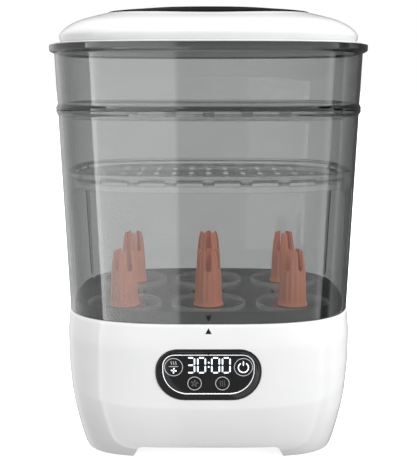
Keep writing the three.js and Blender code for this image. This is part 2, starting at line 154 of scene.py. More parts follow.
def loft(name, profile, form=section_form, closed=True, count=RING, lift=None, tuck=None):
    """Turns a profile of (half-width, height) into a solid. A closed profile makes a ring, and an
    open one starts and ends on the axis. lift(half, z, angle) moves a point up or down, and
    tuck(half, z, angle) takes something off the section's half-width and half-depth there."""
    bm = bmesh.new()
    rows = []
    for half, z in profile:
        if half < 1e-6:
            rows.append([bm.verts.new((0, 0, z * MM))])
            continue
        depth, squareness = form(half, z)
        row = []
        for k in range(count):
            angle = 2 * math.pi * k / count
            narrower, shallower = tuck(half, z, angle) if tuck else (0, 0)
            x, y = plan_point(half - narrower, depth - shallower, squareness, angle)
            rise = lift(half, z, angle) if lift else 0
            row.append(bm.verts.new((x * MM, y * MM, (z + rise) * MM)))
        rows.append(row)
    pairs = list(zip(rows, rows[1:]))
    if closed:
        pairs.append((rows[-1], rows[0]))
    for low, high in pairs:
        for k in range(count):
            j = (k + 1) % count
            corners = [low[k % len(low)], low[j % len(low)], high[j % len(high)], high[k % len(high)]]
            corners = list(dict.fromkeys(corners))
            if len(corners) > 2:
                bm.faces.new(corners)
    return from_bmesh(name, bm)


def prism(name, outline, z0, z1, place=None):
    """An outline in millimetres, drawn up from z0 to z1."""
    bm = bmesh.new()
    low = [bm.verts.new((x * MM, y * MM, z0 * MM)) for x, y in outline]
    high = [bm.verts.new((x * MM, y * MM, z1 * MM)) for x, y in outline]
    bm.faces.new(low)
    bm.faces.new(high)
    for k in range(len(outline)):
        j = (k + 1) % len(outline)
        bm.faces.new((low[k], low[j], high[j], high[k]))
    obj = from_bmesh(name, bm)
    if place is not None:
        obj.data.transform(place)
    return obj


def block(x0, x1, y0, y1, z0, z1):
    """A box to cut with."""
    return prism("cutter", [(x0, y0), (x1, y0), (x1, y1), (x0, y1)], z0, z1)


def circle(radius, x=0.0, y=0.0, count=ROUND):
    angles = (2 * math.pi * k / count for k in range(count))
    return [(x + radius * math.cos(a), y + radius * math.sin(a)) for a in angles]


def slot_outline(x, y, length, width, upright=False, steps=6):
    """A slot with round ends."""
    radius, reach = width / 2, (length - width) / 2
    points = []
    for side in (1, -1):
        for k in range(steps + 1):
            a = -math.pi / 2 + math.pi * k / steps + (math.pi if side < 0 else 0)
            u, v = side * reach + radius * math.cos(a), radius * math.sin(a)
            points.append((x - v, y + u) if upright else (x + u, y + v))
    return points


def panel_outline(width, height, top, bottom, grow=0.0, steps=12):
    """A rounded rectangle with one radius for its top corners and one for its bottom ones."""
    w, h = width / 2 + grow, height / 2 + grow
    t, b = top + grow, bottom + grow
    corners = [(w - t, h - t, t, 0), (t - w, h - t, t, 1), (b - w, b - h, b, 2), (w - b, b - h, b, 3)]
    points = []
    for x, y, radius, quarter in corners:
        for k in range(steps + 1):
            a = math.pi / 2 * (quarter + k / steps)
            points.append((x + radius * math.cos(a), y + radius * math.sin(a)))
    return points


def joined(objects, name):
    """One object from several."""
    bm = bmesh.new()
    for obj in objects:
        bm.from_mesh(obj.data)
        bpy.data.objects.remove(obj)
    mesh = bpy.data.meshes.new(name)
    bm.to_mesh(mesh)
    bm.free()
    return link(name, mesh)


def settle(obj, sharp=38):
    """Applies a piece's modifiers."""
    bpy.context.view_layer.update()
    seen = obj.evaluated_get(bpy.context.evaluated_depsgraph_get())
    mesh = bpy.data.meshes.new_from_object(seen)
    obj.modifiers.clear()
    obj.data = mesh
    tidy(mesh, sharp)
    return obj


def carve(obj, cutters, operation="DIFFERENCE"):
    """Cuts the cutters out of an object, or joins them to it."""
    tool = joined(cutters, "tool") if len(cutters) > 1 else cutters[0]
    cut = obj.modifiers.new("cut", "BOOLEAN")
    cut.object = tool
    cut.operation = operation
    cut.solver = "EXACT"
    cut.use_self = operation == "DIFFERENCE" and len(cutters) > 1
    settle(obj)
    bpy.data.objects.remove(tool)
    return obj


def soften(obj, width=0.3, segments=2, angle=38, apply=True):
    """Rounds hard edges and evens the shading."""
    bevel = obj.modifiers.new("soft_edges", "BEVEL")
    bevel.width = width * MM
    bevel.segments = segments
    bevel.limit_method = "ANGLE"
    bevel.angle_limit = math.radians(angle)
    bevel.harden_normals = False
    if apply:
        settle(obj, sharp=60)
    even = obj.modifiers.new("even_normals", "WEIGHTED_NORMAL")
    even.keep_sharp = True
    even.weight = 60
    return obj


def finish_piece(obj, material, body, slot, *nodes):
    """Gives a piece its material and its body, and hides the CAD nodes that it stands for. The slot argument
    is not used.
    """
    obj.data.materials.clear()
    obj.data.materials.append(material)
    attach(obj, body)
    if nodes:
        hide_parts(*nodes)
    return obj


# ------------------------------------------------------------------ materials
def noise(tree, scale, detail=4, stretch=(1, 1, 1)):
    """A noise value in the object's own space; scale is in features per metre."""
    place = tree.nodes.new("ShaderNodeTexCoord")
    mapping = tree.nodes.new("ShaderNodeMapping")
    mapping.inputs["Scale"].default_value = stretch
    tree.links.new(place.outputs["Object"], mapping.inputs["Vector"])
    texture = tree.nodes.new("ShaderNodeTexNoise")
    texture.inputs["Scale"].default_value = scale
    texture.inputs["Detail"].default_value = detail
    tree.links.new(mapping.outputs["Vector"], texture.inputs["Vector"])
    return texture.outputs["Fac"]


def ranged(tree, value, low, high):
    """Stretches the middle of a noise value over low to high."""
    node = tree.nodes.new("ShaderNodeMapRange")
    node.inputs["From Min"].default_value = 0.3
    node.inputs["From Max"].default_value = 0.7
    node.inputs["To Min"].default_value = low
    node.inputs["To Max"].default_value = high
    tree.links.new(value, node.inputs["Value"])
    return node.outputs["Result"]


def blended(tree, value, first, second):
    """A colour between two, by a value from 0 to 1."""
    node = tree.nodes.new("ShaderNodeMix")
    node.data_type = "RGBA"
    node.inputs["A"].default_value = (*first, 1)
    node.inputs["B"].default_value = (*second, 1)
    tree.links.new(value, node.inputs["Factor"])
    return node.outputs["Result"]


def finish(name, first, second, roughness, tone_scale=40, grain=900, bump=0.02, stretch=(1, 1, 1),
           **sockets):
    """A moulded or metal surface: two close tones, uneven gloss and a fine grain."""
    material = bpy.data.materials.new(name)
    material.use_nodes = True
    tree = material.node_tree
    shader = tree.nodes["Principled BSDF"]
    tone = ranged(tree, noise(tree, tone_scale), 0, 1)
    tree.links.new(blended(tree, tone, first, second), shader.inputs["Base Color"])
    rough = ranged(tree, noise(tree, tone_scale * 3, stretch=stretch), *roughness)
    tree.links.new(rough, shader.inputs["Roughness"])
    relief = tree.nodes.new("ShaderNodeBump")
    relief.inputs["Strength"].default_value = bump
    relief.inputs["Distance"].default_value = 0.0004
    tree.links.new(noise(tree, grain, stretch=stretch), relief.inputs["Height"])
    tree.links.new(relief.outputs["Normal"], shader.inputs["Normal"])
    for socket, value in sockets.items():
        shader.inputs[socket.replace("_", " ")].default_value = value
    return material


white = finish("gloss_white", (0.845, 0.848, 0.851), (0.875, 0.875, 0.878), (0.06, 0.12), 25, 260, 0.004,
               Specular_IOR_Level=0.2)
# The lid is the same white plastic as the base; its darker colour here is painted shade against the stronger
# light from above.
painted_shade_lid_white = finish("lid_white_painted_shade", (0.765, 0.768, 0.771), (0.795, 0.795, 0.798), (0.06, 0.12), 25, 260, 0.004,
                   Specular_IOR_Level=0.2)
inner_white = finish("satin_white", (0.80, 0.80, 0.80), (0.86, 0.86, 0.86), (0.3, 0.42), 40, 900, 0.05)
black = finish("gloss_black", (0.006, 0.006, 0.007), (0.010, 0.010, 0.011), (0.06, 0.12), 60, 500, 0.008,
               Specular_IOR_Level=0.16)
black_lid = finish("lid_black", (0.006, 0.006, 0.007), (0.010, 0.010, 0.011), (0.10, 0.16), 60, 500, 0.008,
                   Specular_IOR_Level=0.04)
black_moulded = finish("moulded_black", (0.03, 0.03, 0.032), (0.05, 0.05, 0.052), (0.5, 0.65), 60, 1800, 0.2)
silver = finish("silver_trim", (0.82, 0.83, 0.84), (0.90, 0.91, 0.92), (0.16, 0.26), 90, 2500, 0.04,
                Metallic=1.0)
steel = finish("brushed_steel", (0.60, 0.61, 0.62), (0.70, 0.71, 0.72), (0.22, 0.36), 90, 1500, 0.08,
               stretch=(1, 12, 1), Metallic=1.0)
aluminium = finish("bare_aluminium", (0.68, 0.69, 0.70), (0.76, 0.77, 0.78), (0.35, 0.5), 90, 1500, 0.08,
                   Metallic=1.0)
coral = finish("coral_silicone", (0.88, 0.29, 0.165), (0.93, 0.345, 0.205), (0.34, 0.46), 60, 1200, 0.06)
rubber = finish("rubber", (0.03, 0.03, 0.031), (0.05, 0.05, 0.051), (0.7, 0.85), 80, 2200, 0.25)
silicone = finish("silicone", (0.66, 0.66, 0.65), (0.73, 0.73, 0.72), (0.45, 0.6), 60, 1500, 0.08)
grey_plastic = finish("moulded_grey", (0.30, 0.31, 0.32), (0.36, 0.37, 0.38), (0.45, 0.6), 50, 1800, 0.18)
board_green = finish("solder_mask", (0.02, 0.16, 0.09), (0.03, 0.21, 0.12), (0.3, 0.45), 200, 1500, 0.1)
paper = finish("filter_paper", (0.80, 0.79, 0.74), (0.88, 0.87, 0.83), (0.85, 0.95), 150, 2500, 0.4)
ink = finish("printed_black", (0.004, 0.004, 0.004), (0.008, 0.008, 0.008), (0.5, 0.6), 200, 2500, 0.03,
             Specular_IOR_Level=0.1)
ink_grey = finish("printed_grey", (0.045, 0.045, 0.047), (0.06, 0.06, 0.062), (0.3, 0.4), 200, 2500, 0.05)
ink_silver = finish("printed_silver", (0.62, 0.62, 0.63), (0.70, 0.70, 0.71), (0.3, 0.4), 200, 2500, 0.05)


def smoked(name, tint, density, first=(0.94, 0.945, 0.945), second=(0.97, 0.975, 0.975),
           roughness=(0.0, 0.006), transmission=1.0, ior=1.48):
    """Clear plastic that darkens with its thickness: it takes off (1 - tint) x density per metre."""
    material = finish(name, first, second, roughness, 30, 60, 0.0004,
                      Transmission_Weight=transmission, IOR=ior)
    tree = material.node_tree
    absorb = tree.nodes.new("ShaderNodeVolumeAbsorption")
    absorb.inputs["Color"].default_value = (*tint, 1)
    absorb.inputs["Density"].default_value = density
    tree.links.new(absorb.outputs["Volume"], tree.nodes["Material Output"].inputs["Volume"])
    return material


SMOKE = (0.245, 0.262, 0.258)  # a grey with a little green
smoke = smoked("smoked_clear", SMOKE, 300)
smoke_tray = smoked("smoked_tray", SMOKE, 18, (0.9, 0.905, 0.905), (0.93, 0.935, 0.935),
                    transmission=0.92, ior=1.36)
# The grips are the trays' own clear plastic; their much higher density here is painted shade for the dark
# look of the ribbed plastic.
painted_shade_grip_smoke = smoked("smoked_grip_painted_shade", SMOKE, 900, ior=1.3)
# The bottle tray is the same smoked clear plastic as the sections; its dark, mostly opaque colour here is
# painted shade for its floor deep in the box.
painted_shade_floor_smoke = smoked("smoked_floor_painted_shade", SMOKE, 300, (0.07, 0.075, 0.073), (0.09, 0.095, 0.093),
                     roughness=(0.04, 0.08), transmission=0.25)


def lit(name, color, strength):
    """A lit display segment: a pale film with light behind it."""
    material = finish(name, color, tuple(0.96 * c for c in color), (0.3, 0.4), 300, 2500, 0.02)
    shader = material.node_tree.nodes["Principled BSDF"]
    shader.inputs["Emission Color"].default_value = (*color, 1)
    shader.inputs["Emission Strength"].default_value = strength
    return material


glow = lit("lit_segment", (0.80, 0.90, 1.0), 1.1)
glow_icon = lit("lit_icon", (0.86, 0.93, 1.0), 0.9)

# ------------------------------------------------------------------ base housing
CREASE = 52.0  # height of the crease at the middle of the front
FOOT = 1.0  # height of the housing's lower edge
BASE_SIDE = [  # the silhouette from the foot up: half-width and height
    (114.0, FOOT), (116.2, 3.0), (118.4, 8.5), (122.0, 24.5), (125.1, 41), (126.2, CREASE), (127.3, 64.5),
    (128.6, 80), (129.3, 102), (129.0, 111), (128.3, 119), (127.8, 124),
]
BASE_WALL = 3.0
ARCH_TOP, ARCH_HALF = 13.2, 63.0
CREASE_BOW, CREASE_RISE = 4.0, 24.0  # how it curves up over the front, and then at the corners
CREASE_TURN = 0.13  # the slope just under it
FRONT_TOP, FRONT_LEAN = 102.0, 0.02  # the front is straight from there down to the crease
FOOT_TUCK, FOOT_RISE = 7.0, 18.0  # how far and from what height the foot is rounded under
GLAND_X, GLAND_Z, GLAND_RADIUS = 70, 34, 6.4


def base_half(z):
    """The base's half-width at that height."""
    for (a, za), (b, zb) in zip(BASE_SIDE, BASE_SIDE[1:]):
        if za <= z <= zb:
            return a + (b - a) * (z - za) / (zb - za)
    return BASE_SIDE[-1][0]


def smooth_line(points, steps=5):
    """A Catmull-Rom curve through the points."""
    ends = [points[0], *points, points[-1]]
    out = []
    for i in range(1, len(ends) - 2):
        a, b, c, d = (Vector(ends[i + k]) for k in (-1, 0, 1, 2))
        for k in range(steps):
            t = k / steps
            q = 0.5 * (2 * b + (c - a) * t + (2 * a - 5 * b + 4 * c - d) * t**2
                       + (3 * b - a - 3 * c + d) * t**3)
            out.append((q.x, q.y))
    out.append(points[-1])
    return out


def crease_rise(angle):
    """How far the crease has curved up there, like a smile, from the middle of the front."""
    reach = abs(math.cos(angle))
    return CREASE_BOW * reach**2 + CREASE_RISE * reach**9


def is_inside(half, z):
    """Whether a point of the housing's profile is on its inner face."""
    return half < base_half(z) - BASE_WALL / 2


def housing_lift(half, z, angle):
    """Bends the rows of points so that one of them runs along the crease."""
    if z > FRONT_TOP or is_inside(half, z):
        return 0
    share = (z - FOOT) / (CREASE - FOOT) if z < CREASE else (FRONT_TOP - z) / (FRONT_TOP - CREASE)
    return crease_rise(angle) * share


def front_half(z, line):
    """The front's own slope: straight down to the crease, then turned in and rounding to the foot."""
    at_line = base_half(FRONT_TOP) - FRONT_LEAN * (FRONT_TOP - line)
    if z >= line:
        return at_line + FRONT_LEAN * (z - line)
    fall = at_line - base_half(FOOT)
    first = CREASE_TURN * (line - FOOT) / fall
    share = (line - z) / (line - FOOT)
    return at_line - fall * (first * share + (1 - first) * share**2)


def housing_tuck(half, z, angle):
    """What the front takes off the housing's plan, with the foot rounded under at front and back."""
    height = z + housing_lift(half, z, angle)
    under = FOOT_TUCK * max(0, 1 - height / FOOT_RISE) ** 2 * math.sin(angle) ** 2
    if z > FRONT_TOP or is_inside(half, z):
        return 0, under
    own = base_half(height)
    front = min(1, max(0, 0.5 - 1.2 * math.sin(angle)))  # 1 at the front, and 0 behind the sides
    inward = front * (own - front_half(height, CREASE + crease_rise(angle)))
    corner = 0.3 + 0.6 * min(1, abs(math.sin(angle)) / 0.45)
    return half - own + corner * max(0, inward), half - own + inward + under


def make_housing():
    """The shell of the base, with the arch, the panel's and the door's openings and the gland's hole."""
    side = smooth_line(BASE_SIDE, 8)
    inner = [(111.4, FOOT), (113.2, 4.0)]
    inner += [(half - BASE_WALL, z) for half, z in side if 8 < z < 116]
    lip = rounded([(side[-1][0], 124.0), (127.3, BASE_TOP, 1.4), (121.2, BASE_TOP, 0.8), (121.2, 119)],
                  closed=False)
    profile = side + lip[1:] + list(reversed(inner))
    shell = loft("housing", profile, form=base_form, lift=housing_lift, tuck=housing_tuck)
    half_arch = [(ARCH_HALF - 2, ARCH_TOP, 6), (ARCH_HALF + 3.6, 1.0, 2.5), (ARCH_HALF + 6, -4, 0)]
    arch = rounded([(-x, z, radius) for x, z, radius in reversed(half_arch)] + half_arch, steps=8)
    turn = Matrix.Rotation(math.pi / 2, 4, "X")
    tools = [prism("arch", arch, -130, 130, place=turn)]
    tools.append(prism("panel", panel_outline(*PANEL, grow=0.35), -12, 12, place=PANEL_PLACE))
    tools.append(prism("door", panel_outline(*DOOR, grow=0.35), -12, 12, place=DOOR_PLACE))
    gland = Matrix.Translation((GLAND_X * MM, 0, GLAND_Z * MM)) @ turn
    tools.append(prism("gland", circle(GLAND_RADIUS), -120, -60, place=gland))
    for tool in tools:
        carve(shell, [tool])
    return soften(shell, 0.6, 3, 50)


def wall_place(node, lean, behind):
    """A frame on a sloping wall, centred on a CAD node: X along the wall, Y up it, Z out of it."""
    low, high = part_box(node)
    centre = Vector((0, (low.y + high.y) / 2, (low.z + high.z) / 2))
    turn = Matrix.Rotation(math.pi if behind else 0, 4, "Z")
    return Matrix.Translation(centre) @ turn @ Matrix.Rotation(math.pi / 2 + lean, 4, "X")


# Width, height, and the radius of the top and of the bottom corners.
PANEL = (89.8, 44.8, 18.6, 24.4)
LENS = (78.8, 35.6, 10.3, 21.5)
DOOR = (90, 50, 6, 6)
PANEL_SHIFT = Matrix.Translation((0, 0.8 * MM, 1.6 * MM))  # up and out to where the photo shows it
PANEL_PLACE = wall_place("panel_bezel", math.radians(1.2), False) @ PANEL_SHIFT
DOOR_PLACE = wall_place("filter_cover", math.radians(6), True) @ Matrix.Translation((0, 0, 0.7 * MM))

finish_piece(make_housing(), white, "base", "gloss_white", "base_housing")


def make_door():
    """The filter drawer's front, with its louvres and a finger notch."""
    door = prism("filter_door", panel_outline(*DOOR), -2.2, 0.8)
    louvres = [prism("louvre", slot_outline(0, 17 - 5.2 * k, 70, 2.4), -4, 4) for k in range(6)]
    louvres.append(prism("notch", slot_outline(0, -18, 36, 6), 0.0, 4))
    carve(door, louvres)
    soften(door, 0.35, 2, 50)
    door.data.transform(DOOR_PLACE)
    return door


finish_piece(make_door(), white, "filter_drawer", "gloss_white", "filter_cover")


# ------------------------------------------------------------------ control panel
def on_panel(name, outlines, framed=True):
    """A piece of the panel whose section runs through (outline, height) pairs: a frame, or a plate with
    a face at each end."""
    bm = bmesh.new()
    rows = [[bm.verts.new((x * MM, y * MM, z * MM)) for x, y in points] for points, z in outlines]
    count = len(rows[0])
    pairs = list(zip(rows, rows[1:]))
    if framed:
        pairs.append((rows[-1], rows[0]))
    for low, high in pairs:
        for k in range(count):
            j = (k + 1) % count
            bm.faces.new((low[k], low[j], high[j], high[k]))
    if not framed:
        bm.faces.new(rows[0])
        bm.faces.new(rows[-1])
    obj = from_bmesh(name, bm)
    obj.data.transform(PANEL_PLACE)
    return obj


def bezel_line(grow):
    return panel_outline(*PANEL, grow=grow)


def lens_line(grow):
    return panel_outline(*LENS, grow=grow)


bezel = on_panel("panel_frame", [
    (bezel_line(-0.1), -3.2), (bezel_line(0), -0.2), (bezel_line(-0.25), 0.55), (bezel_line(-0.9), 0.85),
    (bezel_line(-1.8), 0.75), (bezel_line(-2.9), -0.1),
    (lens_line(0.9), -1.15), (lens_line(0.3), -1.2), (lens_line(0.3), -3.2),
])
finish_piece(soften(bezel, 0.1, 1), black, "base", "gloss_black", "panel_bezel")
trim = on_panel("panel_ring", [
    (lens_line(0), -2.6), (lens_line(0), -0.95), (lens_line(-0.2), -0.7), (lens_line(-0.8), -0.7),
    (lens_line(-1.0), -0.95), (lens_line(-1.0), -2.6),
])
finish_piece(trim, silver, "base", "silver_trim", "panel_trim")

# The glass is flat in the middle and rounded over at its edge.
LENS_EDGE = [(-1.2, -3.0), (-1.2, -1.3), (-1.5, -1.05), (-2.2, -0.95), (-6, -0.93)]
lens = on_panel("panel_glass", [(lens_line(grow), z) for grow, z in LENS_EDGE], framed=False)
finish_piece(lens, black, "base", "gloss_black", "panel_lens")

PRINT_Z, PRINT_THICK, BAND_THICK = -0.92, 0.12, 0.14  # printed marks sit on the glass


def printed(name, outlines, material):
    """Flat marks on the glass."""
    marks = [prism("mark", outline, PRINT_Z, PRINT_Z + PRINT_THICK) for outline in outlines]
    obj = joined(marks, name)
    obj.data.transform(PANEL_PLACE)
    tidy(obj.data)
    return finish_piece(obj, material, "base", "gloss_black")


def band_piece(name, bands, material):
    """Rings and arcs as flat raised bands."""
    bm = bmesh.new()
    for x, y, radius, width, start, sweep in bands:
        full = sweep >= 360
        steps = max(8, int(ROUND * sweep / 360))
        near, far, top = radius - width / 2, radius + width / 2, PRINT_Z + BAND_THICK
        section = ((near, PRINT_Z), (near, top), (far, top), (far, PRINT_Z))
        rows = []
        for k in range(steps if full else steps + 1):
            a = math.radians(start + sweep * k / steps)
            rows.append([bm.verts.new(((x + r * math.cos(a)) * MM, (y + r * math.sin(a)) * MM, z * MM))
                         for r, z in section])
        pairs = list(zip(rows, rows[1:]))
        if full:
            pairs.append((rows[-1], rows[0]))
        for low, high in pairs:
            for k in range(4):
                j = (k + 1) % 4
                bm.faces.new((low[k], low[j], high[j], high[k]))
        if not full:
            bm.faces.new(rows[0])
            bm.faces.new(rows[-1])
    obj = from_bmesh(name, bm)
    obj.data.transform(PANEL_PLACE)
    return finish_piece(obj, material, "base", "gloss_black")


# How far each key is to the side and up, and its radius.
BIG_KEY, SMALL_KEY = (29.7, 6.6, 8.0), (11.9, -7.9, 6.1)
band_piece("key_rings", [
    (side * x, y, radius - 0.3, 0.5, 0, 360) for x, y, radius in (BIG_KEY, SMALL_KEY) for side in (-1, 1)
], ink_silver)


def segment(x, y, length, width, upright):
    """One bar of a digit, with pointed ends."""
    reach, half = length / 2, width / 2
    points = [(-reach, 0), (-reach + half, half), (reach - half, half), (reach, 0),
              (reach - half, -half), (-reach + half, -half)]
    return [(x - v, y + u) if upright else (x + u, y + v) for u, v in points]


DIGITS = {"0": "abcdef", "3": "abcdg"}  # the bars of a figure
DIGIT_Y, DIGIT_WIDTH, DIGIT_HEIGHT, BAR_THICK = 8.3, 6.4, 13.2, 1.25


def digit(x, y, figure):
    """The bars of one figure of the display."""
    w, h = DIGIT_WIDTH / 2, DIGIT_HEIGHT / 4
    bar, post = DIGIT_WIDTH - 1.7, DIGIT_HEIGHT / 2 - 0.9
    spots = {"a": (x, y + 2 * h, bar, False), "b": (x + w, y + h, post, True),
             "c": (x + w, y - h, post, True), "d": (x, y - 2 * h, bar, False),
             "e": (x - w, y - h, post, True), "f": (x - w, y + h, post, True), "g": (x, y, bar, False)}
    return [segment(sx, sy, length, BAR_THICK, upright)
            for sx, sy, length, upright in (spots[s] for s in DIGITS[figure])]


marks = []
for x, figure in ((-15.1, "3"), (-5.9, "0"), (6.0, "0"), (15.1, "0")):
    marks += digit(x, DIGIT_Y, figure)
marks += [circle(0.75, 0.2, DIGIT_Y + rise, 12) for rise in (2.3, -1.5)]
printed("digits", marks, glow)
band_piece("power_symbol", [(BIG_KEY[0], BIG_KEY[1] - 0.4, 4.3, 0.95, 122, 296)], glow_icon)
printed("power_symbol_bar", [slot_outline(BIG_KEY[0], BIG_KEY[1] + 3.2, 4.0, 0.95, True)], glow_icon)


def wave(x, y, height, width, swing=0.35, steps=8):
    """A rising wisp of steam."""
    left, right = [], []
    for k in range(steps + 1):
        t = k / steps
        centre = x + swing * math.sin(2 * math.pi * t)
        left.append((centre - width / 2, y + height * (t - 0.5)))
        right.append((centre + width / 2, y + height * (t - 0.5)))
    return right + left[::-1]


def fan_blades(x, y, radius, blades=5):
    """The blades of a fan symbol."""
    petal = [(0.18, -0.05), (0.55, -0.32), (1.0, -0.30), (0.95, 0.10), (0.55, 0.16), (0.2, 0.12)]
    out = []
    for k in range(blades):
        a = 2 * math.pi * k / blades + math.pi / 2
        out.append([(x + radius * (u * math.cos(a) - v * math.sin(a)),
                     y + radius * (u * math.sin(a) + v * math.cos(a))) for u, v in petal])
    return out


def wisps(x, y, height, width, pitch):
    """Three wisps side by side."""
    return [wave(x + side * pitch, y, height, width) for side in (-1, 0, 1)]


mode_x, mode_y = -BIG_KEY[0], BIG_KEY[1]
printed("mode_fan_symbol", fan_blades(mode_x + 0.1, mode_y - 3.1, 2.5, 4), glow_icon)
steam = wisps(mode_x, mode_y + 3.6, 3.4, 0.5, 1.9)
steam.append(slot_outline(mode_x, mode_y + 0.5, 8.2, 0.5))
printed("mode_steam_symbol", steam, ink_silver)
printed("dry_symbol", fan_blades(-SMALL_KEY[0], SMALL_KEY[1], 3.2), ink_grey)
printed("steam_symbol", wisps(SMALL_KEY[0], SMALL_KEY[1], 5.4, 0.7, 1.8), ink_grey)
notch = prism("ring_notch", [(-0.9, 17.4), (0.9, 17.4), (0, 18.6)], -0.75, -0.6, place=PANEL_PLACE)
finish_piece(notch, ink, "base", "gloss_black")


# ------------------------------------------------------------------ marks on the front
MARK_HALF, MARK_REACH = 2.75, 2.5


def wall_half(z):
    """The clear wall's half-width at that height."""
    return WALL_FOOT + WALL_TAPER * (z - SECTION_BOTTOM)


def front_mark(name, z, up, half_at, body):
    """A small triangle printed on the front of a section whose half-width is half_at(z)."""
    tip, foot = (z + MARK_REACH, z - MARK_REACH) if up else (z - MARK_REACH, z + MARK_REACH)
    bm = bmesh.new()
    for out in (0.02, 0.08):
        for x, h in ((-MARK_HALF, foot), (MARK_HALF, foot), (0, tip)):
            bm.verts.new((x * MM, -(half_at(h) - SETBACK + out) * MM, h * MM))
    bm.verts.ensure_lookup_table()
    v = bm.verts
    for face in ((0, 1, 2), (3, 4, 5), (0, 1, 4, 3), (1, 2, 5, 4), (2, 0, 3, 5)):
        bm.faces.new([v[k] for k in face])
    return finish_piece(from_bmesh(name, bm, merge=1e-8), ink, body, "gloss_black")


front_mark("arrow_up", 121.1, True, base_half, "base")
front_mark("arrow_down", 131.7, False, wall_half, "lower_chamber")


# ------------------------------------------------------------------ clear sections
RIB_SINK = 1.6  # how deep in the wall the ribs end


def wall_x(z, y):
    """How far to the side a point within the clear wall is, at that height and depth."""
    half = wall_half(z) - RIB_SINK
    return half * (1 - (abs(y) / plan_depth(half)) ** SQUARENESS) ** (1 / SQUARENESS)


SEAM_LIP = wall_half(SEAM) + 1.5  # half-width of the lips that meet at the seam
RIB_FOOT, RIB_TOP = 139.5, 237.2
RIB_Y, RIB_THICK = 50.0, 1.8  # how far the ribs stand to the front and back, and how thick they are
RIB_INNER, LEDGE_INNER = 117.2, 114.5  # how far in a rib reaches, and the ledge on it that holds the tray
SHELF_HALF, SHELF_TOP = 124.2, 308.2  # the shelf in the upper section, which holds the upper tray
RIM_WALL = WALL + 0.7


def make_lower():
    """The lower clear section, with the four ribs that carry the accessory tray."""
    top = SEAM - 0.3
    shell = loft("lower_wall", rounded([
        (wall_half(SECTION_BOTTOM) - WALL, SECTION_BOTTOM, 0.6),
        (wall_half(SECTION_BOTTOM), SECTION_BOTTOM, 0.6), (wall_half(top - 4.4), top - 4.4, 2.5),
        (SEAM_LIP, top - 2.2, 0.8), (SEAM_LIP, top, 0.5), (wall_half(top) - WALL, top, 0.5),
    ]))
    ribs = []
    for side in (-1, 1):
        outline = [(side * x, z) for x, z in (
            (RIB_INNER, RIB_FOOT), (wall_x(RIB_FOOT, RIB_Y), RIB_FOOT), (wall_x(RIB_TOP, RIB_Y), RIB_TOP),
            (LEDGE_INNER, RIB_TOP), (LEDGE_INNER, RIB_TOP - 1.6), (119.6, RIB_TOP - 6))]
        for end in (-1, 1):
            spot = Matrix.Translation((0, (end * RIB_Y + RIB_THICK / 2) * MM, 0))
            upright = Matrix.Rotation(math.pi / 2, 4, "X")
            ribs.append(prism("rib", outline, 0, RIB_THICK, place=spot @ upright))
    carve(shell, ribs, "UNION")
    return soften(shell, 0.4, 2, 50)


def make_upper():
    """The upper clear section, with its shelf and its rim."""
    return soften(loft("upper_wall", rounded([
        (SHELF_HALF, SEAM, 0.5), (SEAM_LIP, SEAM, 0.5), (SEAM_LIP, SEAM + 2.0, 0.8),
        (wall_half(309.6), 309.6, 2.5), (wall_half(353.2), 353.2, 0.8), (RIM_HALF - 0.8, 354.9, 0.6),
        (RIM_HALF, 356.0, 0.6), (RIM_HALF, RIM_TOP, 0.8), (wall_half(RIM_TOP) - RIM_WALL, RIM_TOP, 0.5),
        (wall_half(RIM_TOP) - RIM_WALL, 353.6, 0.5), (wall_half(352) - WALL, 352, 0.8),
        (wall_half(313) - WALL, 313, 3), (wall_half(309) - WALL, SHELF_TOP, 1), (SHELF_HALF, SHELF_TOP, 0.8),
    ])), 0.2, 1, 60)


def clear_piece(obj, material, body, *nodes):
    """A clear piece, which lets the lamps light what stands in it."""
    obj.visible_shadow = False
    return finish_piece(obj, material, body, "smoked_clear", *nodes)


clear_piece(make_lower(), smoke, "lower_chamber", "lower_section")
clear_piece(make_upper(), smoke, "upper_chamber", "upper_section")


# ------------------------------------------------------------------ the two upper trays
TRAY_HALF, TRAY_RIM = 122.6, 127.8  # half-widths
DISH_FLOOR, TRAY_TOP = 8.8, 14.5  # heights over the tray's bottom
WINDOW_PITCH, WINDOW_HALF = 31.5, 10.9
WINDOW_ROWS = ((-3.5, 3.1), (0.6, 1.7))  # where each row starts from the dish's floor, and its height


def make_tray(name, bottom):
    """A slotted dish on a skirt, with two rows of steam windows at the front and back."""
    floor, top = bottom + DISH_FLOOR, bottom + TRAY_TOP
    body = loft(name, rounded([
        (0, floor - 1.6), (TRAY_HALF - 3, floor - 1.6, 0.8), (TRAY_HALF - 2.2, bottom, 0.4),
        (TRAY_HALF, bottom, 0.4), (TRAY_HALF + 1.2, top - 3, 1.0), (TRAY_RIM, top - 2.0, 0.5),
        (TRAY_RIM, top, 0.6), (TRAY_HALF + 0.4, top, 1.0), (TRAY_HALF - 1.8, floor, 2.0), (0, floor),
    ], closed=False), closed=False)
    windows = []
    for k in range(6):
        x = WINDOW_PITCH * (k - 2.5)
        for row, height in WINDOW_ROWS:
            z0, z1 = floor + row, floor + row + height
            for near, far in ((-110, -70), (70, 110)):
                windows.append(block(x - WINDOW_HALF, x + WINDOW_HALF, near, far, z0, z1))
    for y in (-32, 0, 32):
        for side in (-1, 1):
            x0, x1 = sorted((side * 112, side * 130))
            windows.append(block(x0, x1, y - 10, y + 10, floor + 0.5, floor + 2.9))
    carve(body, windows)
    slots = []
    for x in range(-96, 97, 16):
        for y in (-44, 0, 44):
            if abs(x) < 90 or y == 0:
                slots.append(prism("slot", slot_outline(x, y, 34, 5, True), bottom - 1, floor + 4))
    carve(body, slots)
    return soften(body, 0.25, 1, 50)


